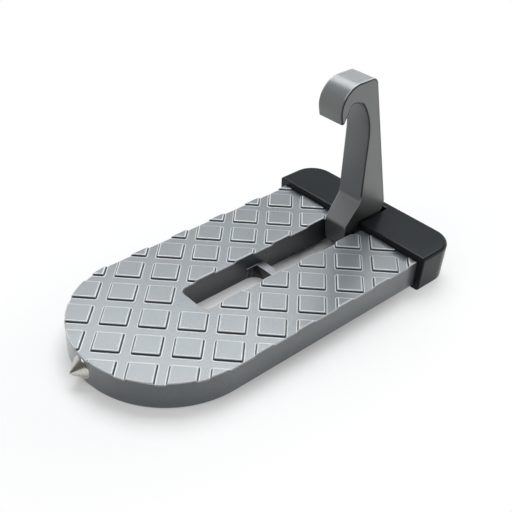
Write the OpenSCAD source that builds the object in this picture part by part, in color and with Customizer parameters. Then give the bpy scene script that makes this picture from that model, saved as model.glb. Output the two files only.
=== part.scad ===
// Folding door step: a cast plate with a tread, a hook that stands up on a cross pin,
// a rubber end cap and a steel hammer tip.
// The round end of the plate points along -X and the hook end along +X.

/* [Plate] */
// Width of the cast plate
plate_w = 70; // [62:1:84]
// Length of the plate from its round tip to its rear end
plate_len = 138.5; // [132:0.5:156]
// Height from the lower edge of the skirt to the top of the tread pads
plate_h = 11; // [10:0.5:14]
// Thickness of the deck under the grooves
deck_t = 2.6; // [2:0.1:3.4]
// Thickness of the outer skirt
skirt_t = 2.6; // [2:0.1:4]
// Radius of the two rear corners
rear_corner_r = 4.5; // [2:0.5:7]
// Thickness of the ribs under the deck
web_t = 2; // [1.2:0.1:3]
// Distance between the ribs under the deck
web_pitch = 14; // [10:0.5:20]
// How far the ribs stop above the lower edge of the skirt
web_rise = 1.5; // [0.5:0.1:2.5]

/* [Tread] */
// Distance between neighbouring pads, measured along a groove
pad_pitch = 13.2; // [11:0.1:16]
// Side of a square pad at its foot
pad_w = 9.7; // [8:0.1:10.5]
// Height of the pads
pad_h = 0.8; // [0.4:0.1:1.2]
// Width of the sloped edge round each pad, seen from above
pad_edge = 0.45; // [0.2:0.05:0.8]
// Distance from the round tip to the first pad on the centre line
pad_first = 10.4; // [8:0.1:13]

/* [Slot] */
// Width of the long slot
slot_w = 14.4; // [13:0.1:17]
// Distance from the round tip to the front end of the slot
slot_front = 45.4; // [42:0.1:50]
// Radius of the front corners of the slot
slot_corner_r = 2.5; // [1:0.1:5]
// Thickness of the walls round the slot
slot_wall = 2.6; // [2:0.1:4]
// Thickness of the cross rib on which the folded hook rests
rest_t = 3.5; // [2.5:0.1:4.5]
// Distance from the hinge pin to the middle of that rib
rest_reach = 40.6; // [38:0.1:41]
// Radius of the front fillets that join that rib to the slot walls
rest_fillet = 5; // [2:0.5:6]

/* [Hinge] */
// Distance from the rear end of the plate to the hinge pin
pivot_back = 14.5; // [14:0.1:15.5]
// Depth of the hinge pin below the top of the tread pads
pivot_depth = 4.4; // [4.2:0.1:5]
// Diameter of the hinge pin
pin_d = 4; // [3.5:0.1:4.6]
// How far the ends of the pin lie inside the skirt
pin_inset = 1; // [0.5:0.1:2]
// Radial clearance between the pin and its bores
pin_fit = 0.04; // [0.02:0.01:0.08]
// Width across the cast tunnel that holds the pin
pin_boss = 9; // [8:0.5:11]
// Outer diameter of the spacer rings beside the hook
spacer_d = 7; // [6:0.1:7.1]

/* [Hook] */
// Width of the hook
hook_w = 10.5; // [9:0.1:12]
// Radius of the round hub
hub_r = 7.75; // [7.3:0.05:7.8]
// Height of the hook above the hinge pin
hook_h = 66.2; // [62:0.1:72]
// How far the front face of the shank lies ahead of the pin
shank_front = 1.7; // [1:0.1:2]
// Where the back face of the shank would meet the level of the pin
back_foot = 16.3; // [15.8:0.1:17]
// Lean of the back face from the vertical, in degrees
back_lean = 15.3; // [14:0.1:16]
// How far the lip reaches ahead of the pin
lip_reach = 17.8; // [17:0.1:20]
// Outer radius of the curl
curl_r = 8.5; // [7.5:0.1:9]
// Lean of the outer face of the lip, in degrees
lip_lean = 12.6; // [8:0.1:16]
// Height from the tip of the lip to the top of the hook
lip_drop = 13.5; // [12:0.1:15]
// Thickness of the tip of the lip
tip_t = 1.2; // [0.8:0.1:2]
// Thickness of the curl over the throat
roof_t = 7; // [6:0.1:8]
// Width of the flat roof of the throat
roof_w = 3; // [2:0.1:4]
// Radius between the roof of the throat and the shank
throat_r = 2.6; // [1.5:0.1:3.5]
// Radius of the sweep from the throat into the shank
sweep_r = 24; // [20:1:30]
// Radius of the back corner at the top
top_r = 2.4; // [1:0.1:3]
// How far the nose reaches ahead of the pin
nose_reach = 8.4; // [8.1:0.1:9]
// Height of the nose above the pin
nose_h = 6.6; // [5:0.1:8]
// Height at which the nose meets the shank
ramp_h = 15.5; // [13:0.1:18]
// Radius of the heel behind the pin
heel_r = 5; // [4:0.1:5.5]

/* [End cap] */
// Depth of the cap along the plate
cap_grip = 15.7; // [15.3:0.1:17]
// Thickness of the side walls of the cap
cap_side = 3; // [2:0.1:4]
// Thickness of the top wall of the cap
cap_top = 3.3; // [2.5:0.1:4.5]
// Thickness of the floor of the cap
cap_floor = 1.4; // [1:0.1:2]
// Thickness of the rear wall of the cap
cap_back = 3.6; // [3:0.1:6]
// Radius of the rear corners of the cap, seen from above
cap_corner_r = 9.5; // [5:0.5:12]
// Radius of the upper edges of the cap
cap_edge_r = 1.2; // [0.5:0.1:2.2]
// Bevel round the foot of the cap
cap_bevel = 0.8; // [0.3:0.1:1]
// Lean of the outer walls of the cap from the vertical, in degrees
cap_lean = 2; // [0.5:0.5:3]
// Gap between the hook and each side of the notch in the cap
notch_gap = 1.1; // [0.6:0.1:2]

/* [Hammer tip] */
// Diameter of the cone at its base
cone_d = 9.2; // [7:0.1:9.6]
// How far the cone stands out of the plate
cone_out = 4.7; // [3:0.1:7]
// Depth of the round seat of the cone
seat_depth = 1.5; // [1:0.1:2.2]
// Gap round the cone in its seat
seat_gap = 0.45; // [0.2:0.05:0.6]
// Diameter of the stud
stud_d = 5; // [4:0.1:5.5]
// Length of the stud behind the seat
stud_len = 9; // [6:0.5:12]
// Radius of the blunted point
point_r = 0.35; // [0.2:0.05:0.6]

/* [Hidden] */
$fn = 96;
EPS = 0.5;
face_gap = 0.05;
cap_fit = 0.05;
hub_room = 0.35;
land_side = 0.2;
floor_room = 1;
// Straight edges lie this much inside the arcs that they run into.
tuck = 0.005;

half_w = plate_w / 2;
skirt_z = cap_floor + cap_fit;
tread_z = skirt_z + plate_h;
deck_z = tread_z - pad_h;
under_z = deck_z - deck_t;
pivot_x = plate_len - pivot_back;
pivot_z = tread_z - pivot_depth;
mouth_x = plate_len - cap_grip;
cap_z = deck_z + cap_fit + cap_top;
cap_side_y = half_w + cap_fit + cap_side;
rear_x = plate_len + cap_fit + cap_back;
mid_x = (rear_x - cone_out) / 2;
hammer_z = skirt_z + plate_h / 2;
boss_len = skirt_t + seat_depth + stud_len;
boss_w = stud_d + 2 * skirt_t;
notch_w = hook_w + 2 * notch_gap;
pocket_r = hub_r + hub_room;
bore_r = pin_d / 2 + pin_fit;

// The pads stand on a lattice that is turned by 45 degrees.
row_step = pad_pitch / sqrt(2);
groove_w = pad_pitch - pad_w;
first_groove = -ceil((plate_len - pad_first + half_w) / (2 * row_step));
last_groove = ceil((pad_first + half_w) / (2 * row_step));
bare_x = pad_first + 2 * row_step * round((slot_front - pad_first) / (2 * row_step));

// The folded hook lies level on the cross rib.
rest_x = pivot_x - rest_reach;
rest_z = pivot_z - shank_front - face_gap;

// Points of the hook, seen from the side, with the pin at the origin.
heel_z = pivot_depth + face_gap;
heel_c = [back_foot - (heel_z + heel_r) * tan(back_lean) - heel_r / cos(back_lean), heel_z + heel_r];
top_c = [back_foot - (hook_h - top_r) * tan(back_lean) - top_r / cos(back_lean), hook_h - top_r];
back_dir = [cos(back_lean), sin(back_lean)];
curl_c = [curl_r - lip_reach, hook_h - curl_r];
lip_root = curl_c - (curl_r - tuck) * [cos(lip_lean), sin(lip_lean)];
tip_z = hook_h - lip_drop;
tip_out = [lip_root.x + (lip_root.y - tip_z) * tan(lip_lean), tip_z];
tip_in = tip_out + [tip_t, 0];
roof_z = hook_h - roof_t;
sweep_z = rest_reach + rest_t / 2 + 0.2;
sweep_c = [-shank_front - sweep_r, sweep_z];
throat_c = [
    sweep_c.x + sqrt((sweep_r - throat_r) ^ 2 - (roof_z - throat_r - sweep_z) ^ 2),
    roof_z - throat_r
];
throat_dir = (throat_c - sweep_c) / norm(throat_c - sweep_c);
roof_x = throat_c.x - roof_w;

module place() {
    translate([-mid_x, 0, 0]) children();
}

// Lays a shape that is drawn in the XZ plane across the plate, w wide and centred.
module across(w) {
    translate([0, w / 2, 0]) rotate([90, 0, 0]) linear_extrude(w) children();
}

module cross_bore(r, w) {
    translate([pivot_x, w / 2, pivot_z]) rotate([90, 0, 0]) cylinder(r = r, h = w);
}

// Outline of the plate: a half circle in front, straight sides and two rear corners.
module plate_outline(grow = 0) {
    r = half_w + grow;
    corner_r = rear_corner_r + grow;
    end_x = plate_len + grow;
    translate([half_w, 0]) circle(r = r, $fn = 180);
    translate([half_w, -r]) square([end_x - corner_r - half_w, 2 * r]);
    translate([half_w, corner_r - r]) square([end_x - half_w, 2 * (r - corner_r)]);
    for (side = [-1, 1])
        translate([end_x - corner_r, side * (r - corner_r)]) circle(r = corner_r);
}

module slot_shape(grow = 0) {
    r = slot_corner_r + grow;
    front_x = slot_front - grow;
    w = slot_w + 2 * grow;
    translate([front_x + r, -w / 2]) square([pivot_x - front_x - r, w]);
    translate([front_x, r - w / 2]) square([r, w - 2 * r]);
    for (side = [-1, 1]) translate([front_x + r, side * (w / 2 - r)]) circle(r = r);
}

// Material round the slot, which runs on to the rear wall of the plate.
module slot_block() {
    slot_shape(slot_wall);
    w = slot_w + 2 * slot_wall;
    translate([pivot_x - EPS, -w / 2]) square([plate_len - pivot_x, w]);
}

// Parallel grooves that run across the deck at 45 degrees.
module groove_set() {
    run = 2 * (plate_len + plate_w);
    translate([pad_first, 0, deck_z]) rotate([0, 0, 45])
        for (i = [first_groove:last_groove])
            translate([-run / 2, (i + 0.5) * pad_pitch, 0])
                rotate([90, 0, 90]) linear_extrude(run)
                    polygon([
                        [-groove_w / 2, 0],
                        [groove_w / 2, 0],
                        [groove_w / 2 + pad_edge, pad_h],
                        [groove_w / 2 + pad_edge, pad_h + EPS],
                        [-groove_w / 2 - pad_edge, pad_h + EPS],
                        [-groove_w / 2 - pad_edge, pad_h]
                    ]);
}

// Solid plate with its tread. The pads end straight at the outline, at the slot and at the cap.
module tread_body() {
    difference() {
        difference() {
            translate([0, 0, skirt_z]) linear_extrude(plate_h) plate_outline();
            groove_set();
            translate([bare_x, 0, deck_z]) rotate([0, 0, 45])
                linear_extrude(pad_h + EPS) square(pad_pitch - groove_w / 2, center = true);
            translate([mouth_x - cap_fit, -half_w - EPS, deck_z])
                cube([cap_grip + 1, plate_w + 2 * EPS, pad_h + EPS]);
        }
        mirror([0, 1, 0]) groove_set();
    }
}

// Flat land at tread level on which the heel of the hook stops.
module heel_land() {
    land_w = notch_w - 2 * land_side;
    translate([pivot_x, -land_w / 2, deck_z - EPS])
        cube([pivot_back, land_w, pad_h + EPS]);
}

module hollow_shape() {
    difference() {
        plate_outline(-skirt_t);
        slot_block();
    }
}

module pin_tunnel_shape() {
    translate([pivot_x - pin_boss / 2, -half_w]) square([pin_boss, plate_w]);
}

// Pockets between the ribs, open at the bottom.
module pockets() {
    translate([0, 0, skirt_z - EPS]) linear_extrude(under_z - skirt_z + EPS) difference() {
        hollow_shape();
        for (x = [pivot_x - pin_boss / 2 - web_pitch : -web_pitch : boss_len])
            translate([x - web_t / 2, -half_w]) square([web_t, plate_w]);
        translate([0, -web_t / 2]) square([slot_front, web_t]);
        translate([0, -boss_w / 2]) square([boss_len, boss_w]);
        pin_tunnel_shape();
    }
    translate([0, 0, skirt_z - EPS]) linear_extrude(web_rise + EPS) hollow_shape();
}

// Cross rib in the slot, with hollow fillets into both walls on its front side.
module hook_rest() {
    w = slot_w / 2;
    translate([0, 0, skirt_z]) linear_extrude(rest_z - skirt_z) {
        translate([rest_x - rest_t / 2, -w]) square([rest_t, slot_w]);
        for (side = [-1, 1]) difference() {
            translate([rest_x - rest_t / 2 - rest_fillet, side > 0 ? w - rest_fillet : -w])
                square([rest_fillet, rest_fillet]);
            translate([rest_x - rest_t / 2 - rest_fillet, side * (w - rest_fillet)])
                circle(r = rest_fillet);
        }
    }
}

module step_plate() {
    color("silver") place() difference() {
        union() {
            difference() {
                union() {
                    tread_body();
                    heel_land();
                }
                pockets();
                translate([0, 0, skirt_z - EPS]) linear_extrude(plate_h + 2 * EPS) slot_shape();
            }
            hook_rest();
        }
        cross_bore(pocket_r, slot_w);
        cross_bore(bore_r, plate_w + 2 * EPS);
        translate([-EPS, 0, hammer_z]) rotate([0, 90, 0]) {
            cylinder(r = cone_d / 2 + seat_gap, h = seat_depth + EPS);
            cylinder(r = stud_d / 2 + pin_fit, h = seat_depth + stud_len + 2 * EPS);
        }
    }
}

// Space in front of the shank and under the curl.
module throat_shape() {
    polygon([
        [-3 * lip_reach, sweep_z],
        [-shank_front, sweep_z],
        throat_c + throat_r * throat_dir,
        throat_c,
        [throat_c.x, roof_z],
        [roof_x, roof_z],
        tip_in,
        [-3 * lip_reach, tip_z]
    ]);
    translate(throat_c) circle(r = throat_r + tuck);
    intersection() {
        translate(sweep_c) circle(r = sweep_r, $fn = 240);
        polygon([sweep_c, sweep_c + 2 * sweep_r * [1, 0], sweep_c + 2 * sweep_r * throat_dir]);
    }
}

module hook_shape() {
    difference() {
        union() {
            polygon([
                [0, 0],
                [0, heel_z + tuck],
                [heel_c.x, heel_z + tuck],
                heel_c,
                heel_c + (heel_r - tuck) * back_dir,
                top_c + (top_r - tuck) * back_dir,
                top_c,
                [top_c.x, hook_h - tuck],
                [curl_c.x, hook_h - tuck],
                curl_c,
                [-shank_front, sweep_z],
                [-shank_front, ramp_h],
                [-nose_reach, nose_h],
                [-hub_r, 0]
            ]);
            polygon([curl_c, lip_root, tip_out, tip_in]);
            circle(r = hub_r);
            translate(curl_c) circle(r = curl_r);
            translate(top_c) circle(r = top_r);
            translate(heel_c) circle(r = heel_r);
        }
        throat_shape();
    }
}

module hook() {
    color("silver") place() difference() {
        translate([pivot_x, 0, pivot_z]) across(hook_w) hook_shape();
        cross_bore(bore_r, hook_w + 2 * EPS);
    }
}

module hinge_pin() {
    pin_len = plate_w - 2 * pin_inset;
    bevel = pin_d / 8;
    color("gray") place()
        translate([pivot_x, -pin_len / 2, pivot_z]) rotate([-90, 0, 0]) rotate_extrude()
            polygon([
                [0, 0],
                [pin_d / 2 - bevel, 0],
                [pin_d / 2, bevel],
                [pin_d / 2, pin_len - bevel],
                [pin_d / 2 - bevel, pin_len],
                [0, pin_len]
            ]);
}

// Ring that keeps the hook in the middle of the slot.
module spacer(side) {
    t = (slot_w - hook_w) / 2 - 2 * face_gap;
    color("dimgray") place()
        translate([pivot_x, side * (hook_w / 2 + face_gap + t / 2), pivot_z])
            rotate([90, 0, 0]) difference() {
                cylinder(r = spacer_d / 2, h = t, center = true);
                cylinder(r = bore_r, h = t + 2 * EPS, center = true);
            }
}

// Section of the cap's border, from the centre of a round corner out to the outer wall.
module cap_section() {
    edge_c = [cap_corner_r - cap_edge_r, cap_z - cap_edge_r];
    wall_x = edge_c.x + cap_edge_r / cos(cap_lean) - (edge_c.y - cap_bevel) * tan(cap_lean);
    polygon([
        [0, 0],
        [wall_x - cap_bevel, 0],
        [wall_x, cap_bevel],
        edge_c + (cap_edge_r - tuck) * [cos(cap_lean), -sin(cap_lean)],
        [edge_c.x, cap_z],
        [0, cap_z]
    ]);
    translate(edge_c) circle(r = cap_edge_r);
}

// Solid cap: a block with the same border on both sides, at the rear and round the corners.
module cap_block() {
    bend = [rear_x - cap_corner_r, cap_side_y - cap_corner_r];
    translate([mouth_x, -bend.y, 0]) cube([bend.x - mouth_x, 2 * bend.y, cap_z]);
    translate([bend.x, bend.y, 0]) rotate([90, 0, 0]) linear_extrude(2 * bend.y) cap_section();
    for (side = [0, 1]) mirror([0, side, 0]) {
        translate([mouth_x, bend.y, 0]) rotate([90, 0, 90])
            linear_extrude(bend.x - mouth_x) cap_section();
        translate([bend.x, bend.y, 0]) rotate_extrude(angle = 90) cap_section();
    }
}

module end_cap() {
    hub_end = pivot_x + pocket_r + floor_room;
    color([0.14, 0.15, 0.16]) place() difference() {
        cap_block();
        translate([0, 0, skirt_z - cap_fit])
            linear_extrude(deck_z - skirt_z + 2 * cap_fit) plate_outline(cap_fit);
        translate([mouth_x - EPS, -notch_w / 2, skirt_z])
            cube([plate_len + cap_fit - mouth_x + EPS, notch_w, cap_z]);
        translate([mouth_x - EPS, -slot_w / 2, -EPS])
            cube([hub_end - mouth_x + EPS, slot_w, skirt_z + 2 * EPS]);
    }
}

module hammer_tip() {
    cone_r = cone_d / 2;
    color([0.72, 0.7, 0.68]) place() translate([0, 0, hammer_z]) rotate([0, 90, 0])
        rotate_extrude() polygon([
            [0, -cone_out],
            [point_r, -cone_out + point_r / 2],
            [cone_r, 0],
            [cone_r, seat_depth - face_gap],
            [stud_d / 2, seat_depth - face_gap],
            [stud_d / 2, seat_depth + stud_len],
            [0, seat_depth + stud_len]
        ]);
}

step_plate();
hook();
hinge_pin();
spacer(-1);  // spacer_near
spacer(1);  // spacer_far
end_cap();
hammer_tip();
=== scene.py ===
import math
import bpy
import bmesh
import numpy as np
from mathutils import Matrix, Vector
from mathutils.geometry import delaunay_2d_cdt


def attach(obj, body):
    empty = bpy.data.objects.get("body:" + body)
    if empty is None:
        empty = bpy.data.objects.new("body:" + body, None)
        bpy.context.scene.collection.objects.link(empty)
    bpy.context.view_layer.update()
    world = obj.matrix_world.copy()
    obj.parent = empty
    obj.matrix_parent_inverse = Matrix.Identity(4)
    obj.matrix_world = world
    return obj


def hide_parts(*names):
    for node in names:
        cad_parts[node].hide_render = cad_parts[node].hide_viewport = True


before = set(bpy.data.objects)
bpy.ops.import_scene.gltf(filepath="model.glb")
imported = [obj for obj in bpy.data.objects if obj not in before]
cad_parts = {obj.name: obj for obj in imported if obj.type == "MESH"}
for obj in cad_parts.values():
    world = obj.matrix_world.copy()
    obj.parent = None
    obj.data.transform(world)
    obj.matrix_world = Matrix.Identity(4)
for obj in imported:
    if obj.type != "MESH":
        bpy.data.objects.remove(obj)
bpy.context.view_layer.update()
scene = bpy.context.scene
print("frame loaded")

# camera, solved from the tread's lattice and the round end
view = {"place": (-0.15815, -0.17435, 0.1903), "turn": (52.7906, -0.1868, -39.1493),
        "lens": 57.56, "sensor": 36.0, "shift": (0.0898, 0.0352), "near": 0.01}
camData = bpy.data.cameras.new("camera")
camData.sensor_width, camData.lens = view["sensor"], view["lens"]
camData.shift_x, camData.shift_y = view["shift"]
camData.clip_start = view["near"]
camera = bpy.data.objects.new("camera", camData)
camera.location = view["place"]
camera.rotation_euler = [math.radians(a) for a in view["turn"]]
scene.collection.objects.link(camera)
scene.camera = camera
scene.view_settings.view_transform = "Standard"


def wire(links, plugs):  # pairs of output and input sockets
    for source, target in plugs:
        links.new(source, target)


def addNode(nodes, kind, values=None, **fields):  # node with its settings and the values of its sockets
    node = nodes.new(kind)
    for key, value in fields.items():
        setattr(node, key, value)
    for key, value in (values or {}).items():
        node.inputs[key].default_value = value
    return node


def mathNode(nodes, operation, *rest, **fields):  # rest holds the second and third numbers
    return addNode(nodes, "ShaderNodeMath", dict(enumerate(rest, 1)), operation=operation, **fields)


def mapNode(nodes, span, to=(0.0, 1.0), **fields):  # one span of numbers mapped on another, held at its ends
    return addNode(nodes, "ShaderNodeMapRange",
                   {"From Min": span[0], "From Max": span[1], "To Min": to[0], "To Max": to[1]}, **fields)


def addLamp(name, place, aim, size, watts, shade=(1, 1, 1)):  # soft lamp that looks at a point
    lamp = bpy.data.lights.new(name, "AREA")
    lamp.shape, lamp.size, lamp.size_y, lamp.energy, lamp.color = "RECTANGLE", size[0], size[1], watts, shade
    lampObj = bpy.data.objects.new(name, lamp)
    lampObj.location = place
    lampObj.rotation_euler = (Vector(aim) - Vector(place)).to_track_quat("-Z", "Y").to_euler()
    scene.collection.objects.link(lampObj)


# room: what is seen of it, the light that it gives, the place of the floor under the step
room = {"ceiling": 0.16, "ceilingSpan": (0.27, 0.60), "dimSide": (-0.67, -0.74, 0.0), "dimMore": 2.0,
        "fill": 0.16, "fillTone": (0.99, 1.0, 0.99, 1),
        "floorSeen": 0.97, "floorBounce": 0.20, "floorGlow": (0.25, 1.0), "floorHalf": 3,
        # hookShade: centre and reach of the painted shadow on the floor under the hook
        "oval": (0.078, 0.040), "whiten": (0.75, 1.9), "hookShade": (0.042, 0.0, 0.0), "hookShadeSpan": (0.010, 0.038),
        "tipX": -0.0687, "tipZ": 0.00145, "capX": 0.0541,
        "lamps": [("backLamp", (0.434, 0.465, 1.018), (0, 0, 0), (0.95, 0.78), 13.5, (0.96, 1.0, 1.02)),
                  ("frontLamp", (0.22, -0.70, 0.15), (0, 0, 0.01), (0.5, 0.25), 0.75, (1.0, 1.0, 0.97)),
                  ("leftLamp", (-0.45, 0.15, 0.75), (0, 0, 0), (0.45, 0.45), 1.3)]}


def seenSwitch(nodes, links):  # 1 for camera, glossy and transmission rays, else 0
    path = addNode(nodes, "ShaderNodeLightPath")
    first, second = mathNode(nodes, "MAXIMUM"), mathNode(nodes, "MAXIMUM")
    wire(links, [(path.outputs["Is Camera Ray"], first.inputs[0]), (path.outputs["Is Glossy Ray"], first.inputs[1]),
                 (first.outputs[0], second.inputs[0]), (path.outputs["Is Transmission Ray"], second.inputs[1])])
    return second.outputs[0]


# world: the camera sees plain white; gloss sees a ceiling that is white at the horizon and below and dimmer overhead,
# place on it = height x (1 + 2 x how far the ray leans to the near side); all else gets an even fill
world = bpy.data.worlds.new("room")
scene.world = world
world.use_nodes = True
wn, wl = world.node_tree.nodes, world.node_tree.links
wn.clear()
roomOut, pick = addNode(wn, "ShaderNodeOutputWorld"), addNode(wn, "ShaderNodeMixShader")
backdrop = addNode(wn, "ShaderNodeBackground")
skyward, heightOf = addNode(wn, "ShaderNodeTexCoord"), addNode(wn, "ShaderNodeSeparateXYZ")
sideOf = addNode(wn, "ShaderNodeVectorMath", {1: room["dimSide"]}, operation="DOT_PRODUCT")
sideUp, steeper = mathNode(wn, "MAXIMUM", 0.0), mathNode(wn, "MULTIPLY_ADD", room["dimMore"], 1.0)
dimmer = mathNode(wn, "MULTIPLY")
ceiling = addNode(wn, "ShaderNodeValToRGB")
for stop, place, tone in zip(ceiling.color_ramp.elements, room["ceilingSpan"], (1, room["ceiling"])):
    stop.position, stop.color = place, (tone,) * 3 + (1,)
wire(wl, [(skyward.outputs["Generated"], heightOf.inputs[0]), (skyward.outputs["Generated"], sideOf.inputs[0]),
          (sideOf.outputs["Value"], sideUp.inputs[0]), (sideUp.outputs[0], steeper.inputs[0]),
          (heightOf.outputs["Z"], dimmer.inputs[0]), (steeper.outputs[0], dimmer.inputs[1]),
          (dimmer.outputs[0], ceiling.inputs["Fac"]), (ceiling.outputs[0], backdrop.inputs["Color"])])
ambient = addNode(wn, "ShaderNodeBackground", {"Color": room["fillTone"], "Strength": room["fill"]})
plain = addNode(wn, "ShaderNodeBackground", {"Color": (1, 1, 1, 1)})
straight, looked = addNode(wn, "ShaderNodeLightPath"), addNode(wn, "ShaderNodeMixShader")
wire(wl, [(seenSwitch(wn, wl), pick.inputs["Fac"]), (ambient.outputs[0], pick.inputs[1]),
          (backdrop.outputs[0], looked.inputs[1]), (plain.outputs[0], looked.inputs[2]),
          (straight.outputs["Is Camera Ray"], looked.inputs["Fac"]), (looked.outputs[0], pick.inputs[2]),
          (pick.outputs[0], roomOut.inputs["Surface"])])
for lampValues in room["lamps"]:
    addLamp(*lampValues)

# floor: pale paper that whitens outward from an oval round the step and keeps its shadow, open from below;
# under the hook it is less white, a painted shadow, and it gives the step little light back
floorMat = bpy.data.materials.new("floorPaper")
floorMat.use_nodes = True
fn, fl = floorMat.node_tree.nodes, floorMat.node_tree.links
fn.clear()
floorOut, floorMix = addNode(fn, "ShaderNodeOutputMaterial"), addNode(fn, "ShaderNodeMixShader")
paper, dimPaper = (addNode(fn, "ShaderNodeBsdfDiffuse", {"Color": (room[key],) * 3 + (1,)})
                   for key in ("floorSeen", "floorBounce"))
glow, seenMix = addNode(fn, "ShaderNodeEmission"), addNode(fn, "ShaderNodeMixShader")
floorPlace = addNode(fn, "ShaderNodeTexCoord")
floorOval = addNode(fn, "ShaderNodeVectorMath", {1: [1 / half for half in room["oval"]] + [0]}, operation="MULTIPLY")
floorFar = addNode(fn, "ShaderNodeVectorMath", operation="LENGTH")  # 1 at the step's outline
floorWhite = mapNode(fn, room["whiten"], (0.0, room["floorGlow"][1]), interpolation_type="SMOOTHSTEP")
# painted shadow on the floor under the hook: less glow near this point
slotShade = addNode(fn, "ShaderNodeVectorMath", {1: room["hookShade"]}, operation="DISTANCE")
slotGlow = mapNode(fn, room["hookShadeSpan"], (0.0, room["floorGlow"][0]))
under, away = addNode(fn, "ShaderNodeNewGeometry"), addNode(fn, "ShaderNodeBsdfTransparent")
floorShow = addNode(fn, "ShaderNodeMixShader")
wire(fl, [(paper.outputs[0], seenMix.inputs[1]), (glow.outputs[0], seenMix.inputs[2]),
          (seenSwitch(fn, fl), floorMix.inputs["Fac"]), (dimPaper.outputs[0], floorMix.inputs[1]),
          (seenMix.outputs[0], floorMix.inputs[2]), (floorPlace.outputs["Object"], floorOval.inputs[0]),
          (floorPlace.outputs["Object"], slotShade.inputs[0]), (slotShade.outputs["Value"], slotGlow.inputs["Value"]),
          (slotGlow.outputs[0], floorWhite.inputs["To Min"]), (floorOval.outputs[0], floorFar.inputs[0]),
          (floorFar.outputs["Value"], floorWhite.inputs["Value"]), (floorWhite.outputs[0], seenMix.inputs["Fac"]),
          (under.outputs["Backfacing"], floorShow.inputs["Fac"]), (floorMix.outputs[0], floorShow.inputs[1]),
          (away.outputs[0], floorShow.inputs[2]), (floorShow.outputs[0], floorOut.inputs["Surface"])])
slope = room["tipZ"] / (room["tipX"] - room["capX"])  # the step rests on the foot of its round end and on its cap
floorMesh, half = bpy.data.meshes.new("floor"), room["floorHalf"]
floorMesh.from_pydata([(x, y, slope * (x - room["capX"])) for x, y in (
    (-half, -half), (half, -half), (half, half), (-half, half))], [], [(0, 1, 2, 3)])
floorMesh.materials.append(floorMat)
floor = bpy.data.objects.new("floor", floorMesh)
scene.collection.objects.link(floor)
print("room ready")


def makeGroup(name, ins, outs):  # empty node group with number inputs and named outputs
    group = bpy.data.node_groups.new(name, "ShaderNodeTree")
    for key, value in ins.items():
        socket = group.interface.new_socket(key, in_out="INPUT", socket_type="NodeSocketFloat")
        socket.default_value = value
    for key in outs:
        group.interface.new_socket(key, in_out="OUTPUT", socket_type="NodeSocketFloat")
    ends = [addNode(group.nodes, kind) for kind in ("NodeGroupInput", "NodeGroupOutput")]
    return group, group.nodes, group.links, *ends


# cast skin under paint: height = long waves + a share of fine grain - pits, sparse dots that stand in patches;
# tone = slow clouds + fine specks
skinShape = {"clouds": 38.0, "patches": 75.0, "dotSpan": (0.14, 0.30), "patchSpan": (0.54, 0.66), "grainShare": 0.35,
             "noiseSpan": (0.3, 0.7), "cloudTone": (0.25, 0.75), "speckTone": (-0.22, 0.22)}
castSkin, gn, gl, gin, gout = makeGroup(
    "castSkin", {"Wave": 220.0, "Grain": 1500.0, "Specks": 3800.0, "Pits": 900.0, "Cover": 0.3}, ["Height", "Tone"])
coord = addNode(gn, "ShaderNodeTexCoord")
waves = addNode(gn, "ShaderNodeTexNoise", {"Detail": 3.0, "Roughness": 0.5})
grain = addNode(gn, "ShaderNodeTexNoise", {"Detail": 2.0, "Roughness": 0.55})
specks = addNode(gn, "ShaderNodeTexNoise", {"Detail": 1.0})
clouds = addNode(gn, "ShaderNodeTexNoise", {"Scale": skinShape["clouds"], "Detail": 3.0, "Roughness": 0.5})
dots = addNode(gn, "ShaderNodeTexVoronoi", {"Randomness": 1.0})
patch = addNode(gn, "ShaderNodeTexNoise", {"Scale": skinShape["patches"], "Detail": 2.0})
dotEdge, patchEdge = mapNode(gn, skinShape["dotSpan"], (1.0, 0.0)), mapNode(gn, skinShape["patchSpan"])
dotPatch, dotCover = mathNode(gn, "MULTIPLY"), mathNode(gn, "MULTIPLY")
fine, high, low = mathNode(gn, "MULTIPLY", skinShape["grainShare"]), mathNode(gn, "ADD"), mathNode(gn, "SUBTRACT")
cloudMap = mapNode(gn, skinShape["noiseSpan"], skinShape["cloudTone"])
speckMap = mapNode(gn, skinShape["noiseSpan"], skinShape["speckTone"])
toneSum = mathNode(gn, "ADD", use_clamp=True)
wire(gl, [(coord.outputs["Object"], tex.inputs["Vector"]) for tex in (waves, grain, specks, clouds, dots, patch)])
wire(gl, [(gin.outputs["Wave"], waves.inputs["Scale"]), (gin.outputs["Grain"], grain.inputs["Scale"]),
          (gin.outputs["Specks"], specks.inputs["Scale"]), (gin.outputs["Pits"], dots.inputs["Scale"]),
          (dots.outputs["Distance"], dotEdge.inputs["Value"]), (patch.outputs["Fac"], patchEdge.inputs["Value"]),
          (dotEdge.outputs[0], dotPatch.inputs[0]), (patchEdge.outputs[0], dotPatch.inputs[1]),
          (dotPatch.outputs[0], dotCover.inputs[0]), (gin.outputs["Cover"], dotCover.inputs[1]),
          (grain.outputs["Fac"], fine.inputs[0]), (waves.outputs["Fac"], high.inputs[0]),
          (fine.outputs[0], high.inputs[1]), (high.outputs[0], low.inputs[0]), (dotCover.outputs[0], low.inputs[1]),
          (clouds.outputs["Fac"], cloudMap.inputs["Value"]), (specks.outputs["Fac"], speckMap.inputs["Value"]),
          (cloudMap.outputs[0], toneSum.inputs[0]), (speckMap.outputs[0], toneSum.inputs[1]),
          (low.outputs[0], gout.inputs["Height"]), (toneSum.outputs[0], gout.inputs["Tone"])])
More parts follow.
